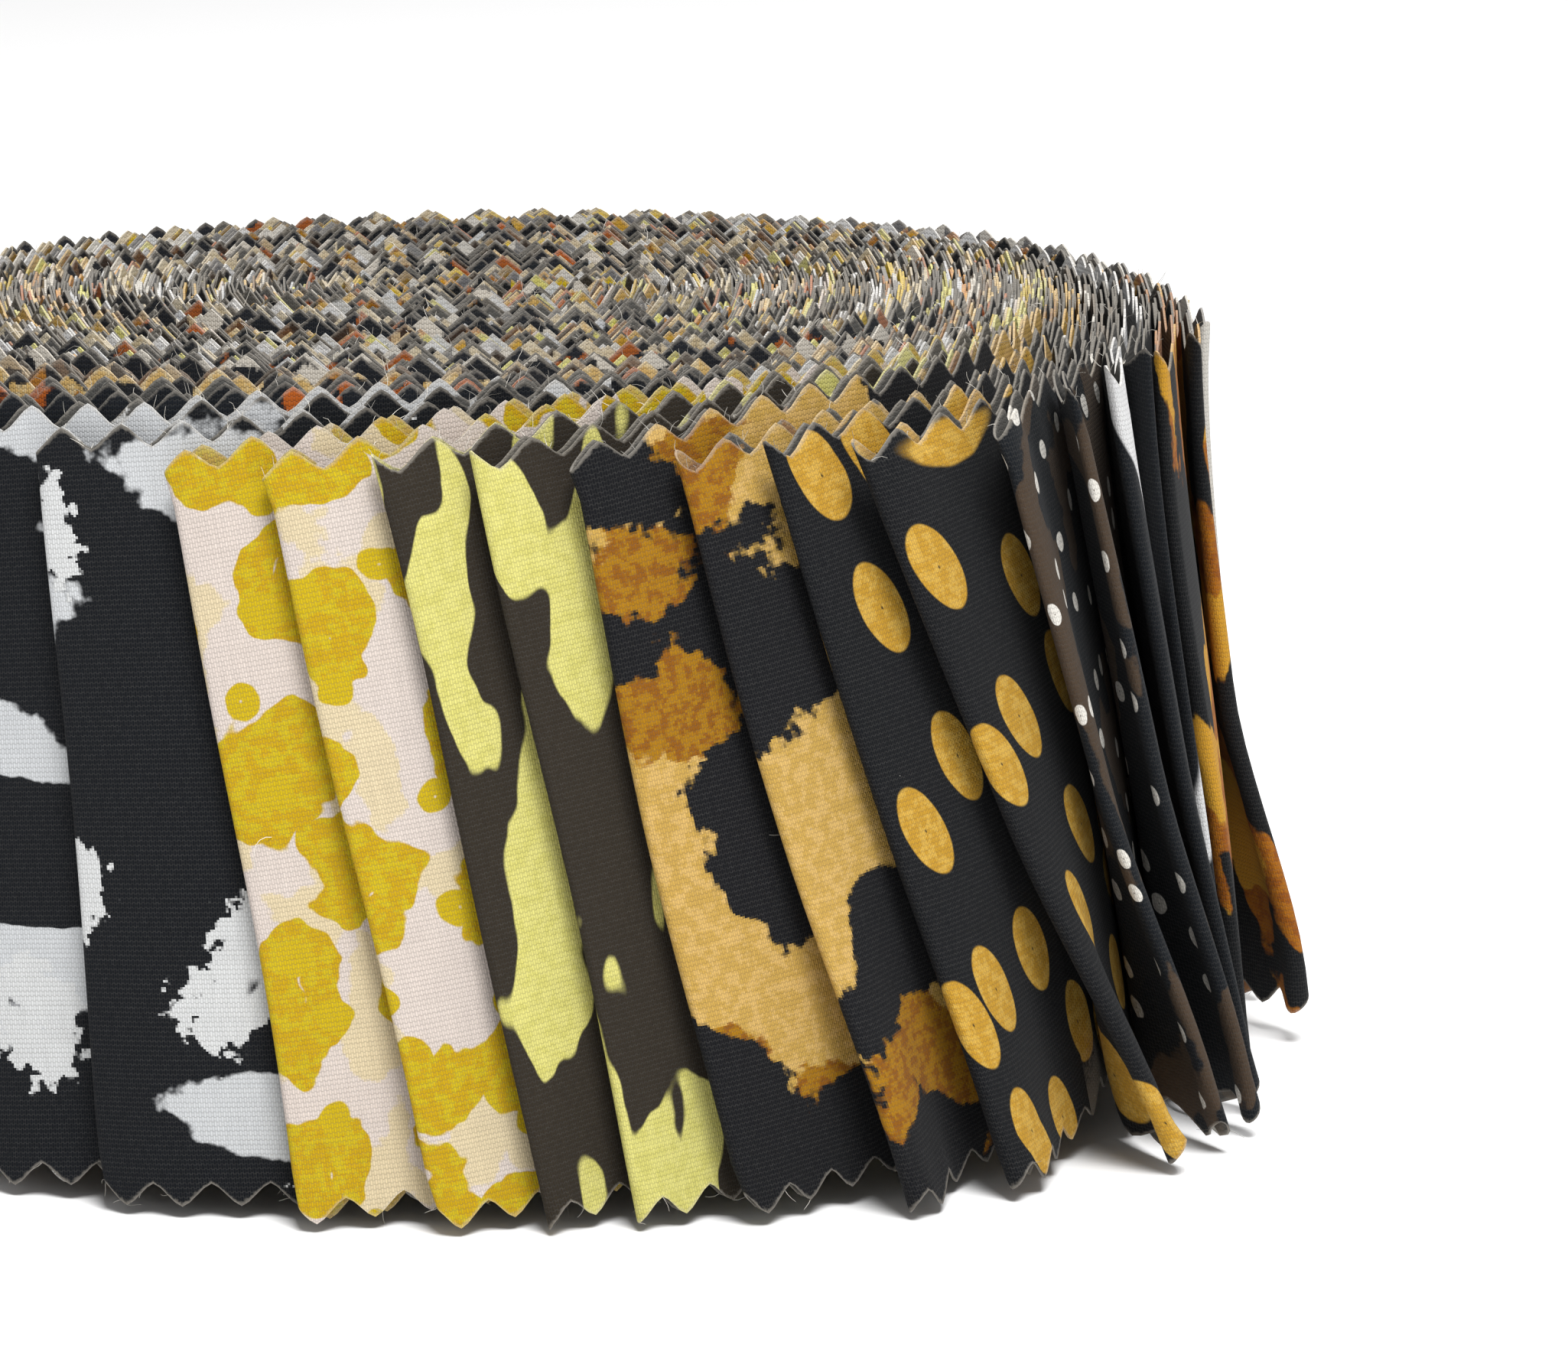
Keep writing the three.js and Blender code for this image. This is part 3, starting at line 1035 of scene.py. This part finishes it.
STRIPES, CELLS, SPOTS, BLOTCHES = PrintKind
CLOTHS = (
    PrintedCloth("tawny_stripe", "b87617", (
        Motif(STRIPES, "1f2024", 11, 60, 0.55),), "cf9430"),
    PrintedCloth("pale_rosette", "181b21", (
        Motif(SPOTS, "c9c3b8", 10, 14, 0.42, 0.5, hollow=0.6),)),
    PrintedCloth("brown_fleck", "6d5138", (
        Motif(BLOTCHES, "b09a78", 9, 12, 0.5, 0.7),
        Motif(SPOTS, "33241a", 3.4, 4.4, 0.3)), "5c3c22"),
    PrintedCloth("gold_rosette", "c9a768", (
        Motif(SPOTS, "232428", 13, 14, 0.5, 0.7, hollow=0.62),
        Motif(BLOTCHES, "a5702c", 9, 9, 0.6)), "d8c294"),
    PrintedCloth("burnt_orange", "15191f", (
        Motif(BLOTCHES, "a9551a", 10, 13, 0.585, 0.7, 0.1),)),
    PrintedCloth("zebra_stripe", "0c0f14", (
        Motif(BLOTCHES, "bec0c2", 40, 13, 0.55, 0.4, 0.05, turn=6),
        Motif(SPOTS, "c6c7c7", 17, 21, 0.21, 0.8, 0.4),)),
    PrintedCloth("giraffe_patch", "c8bcb4", (
        Motif(BLOTCHES, "cbbb9a", 9, 12, 0.54, 0.6, 0.1),
        Motif(SPOTS, "b4920a", 10.5, 12.0, 0.395, 1.0, 0.04, mottle="b8a114"),
        Motif(SPOTS, "b89e0f", 9.0, 9.0, 0.15, 0.3, 0.03)), bare=0.25),
    PrintedCloth("moss_blotch", "2b251d", (
        Motif(BLOTCHES, "c8c272", 6.6, 17, 0.545, 0.25, 0.0, turn=8, mottle="c1bb68"),)),
    PrintedCloth("leopard_patch", "b59248", (
        Motif(BLOTCHES, "976a0b", 21, 19, 0.54, 0.5, 0.1, mottle="82500a"),
        Motif(BLOTCHES, "0d0e12", 20, 16, 0.485, 0.5, 0.1),), "c29f5c"),
    PrintedCloth("gold_oval", "0b0d11", (
        Motif(SPOTS, "b4892a", 7.8, 14.0, 0.27, 0.06, 0.0, turn=-16, mottle="c29b42"),
        Motif(BLOTCHES, "b4892a", 26, 20, 0.66, 0.3, 0.0, mottle="c29b42"))),
    PrintedCloth("white_dot", "0f1318", (
        Motif(BLOTCHES, "43362a", 7, 15, 0.525, 0.6, 0.06),
        Motif(SPOTS, "d6d2ca", 4.2, 6.2, 0.13, 0.2, 0.0),)),
    PrintedCloth("white_patch", "0f1318", (
        Motif(BLOTCHES, "d2d2d2", 24, 34, 0.56, 0.3, 0.0),)),
    PrintedCloth("tiger_stripe", "9c5f10", (
        Motif(BLOTCHES, "bd8c28", 12, 16, 0.5, frayed=0.05),
        Motif(BLOTCHES, "0f1114", 8, 20, 0.495, 0.5, 0.05, turn=-10),), "8a4d0c"),
    PrintedCloth("grey_zebra", "6a6a6c", (Motif(STRIPES, "c4c1ba", 10, 44, 0.5, 0.8),)),
    PrintedCloth("mustard_giraffe", "cfaf1c", (Motif(CELLS, "7a5c18", 12, 14, 0.3),)),
    PrintedCloth("brown_zebra", "352c26", (Motif(STRIPES, "c2b498", 11, 48, 0.55, 0.8),)),
    PrintedCloth("cheetah_spot", "c9bca0", (Motif(SPOTS, "202226", 6, 7, 0.36),), "b7a684"),
    PrintedCloth("rust_fleck", "1e2128", (Motif(BLOTCHES, "96501f", 10, 13, 0.58, 0.7),)),
    PrintedCloth("lime_giraffe", "d8d36c", (Motif(CELLS, "a79e34", 11, 13, 0.3),)),
    PrintedCloth("navy_zebra", "1c2127", (Motif(STRIPES, "c0c3c7", 9, 42, 0.58, 0.8),)),
)


def matt(name: str) -> tuple[bpy.types.Material, bpy.types.Node]:
    """Make a plain matt material and return it with its shader node."""
    material = bpy.data.materials.new(name)
    material.use_nodes = True
    shader = material.node_tree.nodes["Principled BSDF"]
    shader.inputs["Roughness"].default_value = 0.9
    shader.inputs["Specular IOR Level"].default_value = 0.1
    return material, shader


@dataclass
class LooseThreads:
    """The fuzz of short fibres on the pinked edges, and a few longer strays, in millimetres."""

    winding: Winding
    fuzz_count: int = 5200
    fuzz_length: tuple[float, float] = (0.5, 1.5)
    fuzz_width: float = 0.05
    stray_length: tuple[float, float] = (4.0, 10.0)
    stray_width: float = 0.06
    least_height: float = 0.1
    seed: int = 77
    name: str = "loose_fibres"

    def build(self, edges: list[np.ndarray], faces: list[np.ndarray]) -> bpy.types.Object:
        """Make all fibres as one piece.

        Args:
            edges: Points along the pinked edges of every strip, with their outward normals.
            faces: A few points on the outer faces for the strays, with their outward normals.

        Returns:
            The new piece, in metres.
        """
        rng = np.random.default_rng(self.seed)
        pool = np.concatenate(edges)
        nearness = np.clip((-pool[:, 1] - pool[:, 2] * 0.1 + 60) / 100, 0.12, 1.0) ** 1.5
        picks = rng.choice(len(pool), self.fuzz_count, p=nearness / nearness.sum())
        vertices, triangles = [], []
        for pick in picks:
            length = rng.uniform(*self.fuzz_length)
            up = 1.0 if pool[pick, 2] > 0.5 * self.winding.strip_width else -0.3
            heading = pool[pick, 3:] * rng.normal(0.3, 0.6) + rng.normal(0, 0.5, 3)
            heading[2] = abs(heading[2]) * up + 0.5 * up
            path = self._path(pool[pick, :3], heading, length, 4, 0.5, rng)
            self._tube(path, self.fuzz_width, vertices, triangles)
        for spot in faces:
            heading = rng.normal(0, 1, 3) - spot[3:] * 0.2
            root = spot[:3] + spot[3:] * 0.12
            path = self._path(root, heading, rng.uniform(*self.stray_length), 9, 0.7, rng)
            lift = np.linspace(0, 1, len(path))[:, None] * spot[3:] * 0.7
            self._tube(path + lift, self.stray_width, vertices, triangles)
        points = np.array(vertices)
        points[:, 2] = np.maximum(points[:, 2], self.least_height)
        mesh = bpy.data.meshes.new(self.name)
        mesh.from_pydata((points * MM).tolist(), [], triangles)
        return linked(self.name, mesh)

    @staticmethod
    def _path(start: np.ndarray, heading: np.ndarray, length: float, count: int, curl: float,
              rng: np.random.Generator) -> np.ndarray:
        """Let a fibre wander from its root.

        Args:
            start: Where it leaves the cloth.
            heading: Its first direction.
            length: Its length.
            count: Number of points.
            curl: How much it turns at each point.
            rng: Source of chance.

        Returns:
            The points of the fibre.
        """
        points = [start]
        heading = heading / max(np.linalg.norm(heading), 1e-6)
        bend = rng.normal(0, curl, 3)
        for _ in range(count - 1):
            heading = heading + bend * 0.5 + rng.normal(0, 0.15, 3)
            heading = heading / np.linalg.norm(heading)
            points.append(points[-1] + heading * length / (count - 1))
        return np.array(points)

    @staticmethod
    def _tube(path: np.ndarray, width: float, vertices: list, faces: list) -> None:
        """Add a three-sided tube along a path.

        Args:
            path: Points of the fibre.
            width: Its thickness at the root. It tapers to half of it.
            vertices: Points of the whole piece, added to.
            faces: Faces of the whole piece, added to.
        """
        first = len(vertices)
        along = np.gradient(path, axis=0)
        along = along / np.linalg.norm(along, axis=1, keepdims=True)
        aside = np.cross(along, np.array([0.31, 0.52, 0.79]))
        aside = aside / np.linalg.norm(aside, axis=1, keepdims=True)
        third = np.cross(along, aside)
        radii = np.linspace(0.5, 0.25, len(path)) * width
        for side in range(3):
            angle = side * 2 * math.pi / 3
            ring = path + (aside * math.cos(angle) + third * math.sin(angle)) * radii[:, None]
            vertices.extend(ring)
        count = len(path)
        for side in range(3):
            near, far = first + side * count, first + (side + 1) % 3 * count
            for step in range(count - 1):
                faces.append([near + step, far + step, far + step + 1, near + step + 1])
        faces.append([first, first + 2 * count, first + count])
        faces.append([first + count - 1, first + 2 * count - 1, first + 3 * count - 1])

    def dress(self, piece: bpy.types.Object) -> None:
        """Give the fibres their cotton finish and let them ride on the roll."""
        material, shader = matt("cotton_fibre")
        graph = Graph(material.node_tree)
        place = graph.add("TexCoord").outputs["Object"]
        noise = graph.noise(place, 160.0, 2.0)
        tint = graph.ramp(noise.outputs[0], 0.4, 0.62)
        colour = graph.mix(tint, shade("8d8a84"), shade("d9d4ca"))
        graph.send(shader, {"Base Color": colour})
        piece.data.materials.append(material)
        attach(piece, BODY)


@dataclass(frozen=True)
class Panel:
    """A soft square light: its place and size in metres, and its power in watts."""

    name: str
    place: tuple[float, float, float]
    size: float
    watts: float


@dataclass
class Studio:
    """The pale floor, the soft lights and the camera, in millimetres and degrees."""

    floor_size: float = 8000.0
    image_width: float = 2050.0
    focal_pixels: float = 9332.0
    sensor_width: float = 36.0
    camera_distance: float = 598.0
    camera_height: float = 159.0
    pitch: float = 11.98
    yaw: float = 2.13
    room_light: float = 0.38
    panels: tuple[Panel, ...] = (
        Panel("key_panel", (0.12, -0.62, 1.05), 0.4, 18.5),
        Panel("back_panel", (0.4, 0.6, 1.1), 0.9, 8.0))

    def floor(self) -> None:
        """Lay the floor."""
        bpy.ops.object.select_all(action="DESELECT")
        bpy.ops.mesh.primitive_plane_add(size=self.floor_size * MM, location=(0, 0, -0.0002))
        plane = bpy.context.active_object
        plane.name = "studio_floor"
        material, shader = matt("studio_paper")
        shader.inputs["Base Color"].default_value = (0.9, 0.9, 0.9, 1)
        plane.data.materials.append(material)

    def lights(self) -> None:
        """Set the soft light: a bright room and the panels above it."""
        world = bpy.data.worlds.new("studio_room")
        bpy.context.scene.world = world
        world.use_nodes = True
        background = world.node_tree.nodes["Background"]
        background.inputs["Color"].default_value = (1, 1, 1, 1)
        background.inputs["Strength"].default_value = self.room_light
        for panel in self.panels:
            data = bpy.data.lights.new(panel.name, "AREA")
            data.energy = panel.watts
            data.size = panel.size
            light = linked(panel.name, data)
            light.location = panel.place
            aim = np.array([0, 0, 0.03]) - np.array(panel.place)
            light.rotation_mode = "QUATERNION"
            light.rotation_quaternion = Vector(aim).to_track_quat("-Z", "Y")

    def camera(self, centre: tuple[float, float]) -> None:
        """Put the camera at the photograph's viewing angle.

        Args:
            centre: Middle of the wound form in plan, in metres.
        """
        data = bpy.data.cameras.new("camera")
        data.sensor_width = self.sensor_width
        data.lens = self.focal_pixels * self.sensor_width / self.image_width
        data.clip_end = 50
        camera = linked("camera", data)
        camera.location = (centre[0], centre[1] - self.camera_distance * MM,
                           self.camera_height * MM)
        camera.rotation_euler = (math.radians(90 - self.pitch), 0, math.radians(-self.yaw))
        bpy.context.scene.camera = camera


def main() -> None:
    """Build the roll, strip by strip, and its studio."""
    logging.basicConfig(level=logging.INFO, format="%(message)s")
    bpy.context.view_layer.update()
    low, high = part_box("roll")
    winding = Winding()
    half_width = winding.body_half_depth + winding.stretch
    centre = (low.x + half_width * MM, (low.y + high.y) / 2)
    to_frame = Matrix.Translation((centre[0], centre[1], 0))
    edges, faces = [], []
    for index in range(len(winding.folds)):
        strip = FoldedStrip(index, winding, CLOTHS[index // 2])
        piece = strip.build()
        piece.data.transform(to_frame)
        strip.dress(piece)
        edges.append(strip.edge_roots)
        faces.append(strip.face_root)
        LOG.info("%s: %d faces, half length %.0f mm", piece.name, len(piece.data.polygons),
                 strip.cloth_length)
    fibres = LooseThreads(winding)
    fuzz = fibres.build(edges, [faces[i] for i in STRAY_STRIPS])
    fuzz.data.transform(to_frame)
    fibres.dress(fuzz)
    LOG.info("%s: %d faces", fuzz.name, len(fuzz.data.polygons))
    studio = Studio()
    studio.floor()
    studio.lights()
    studio.camera(centre)
    bpy.context.scene.view_settings.view_transform = "Standard"


if __name__ == "__main__":
    main()
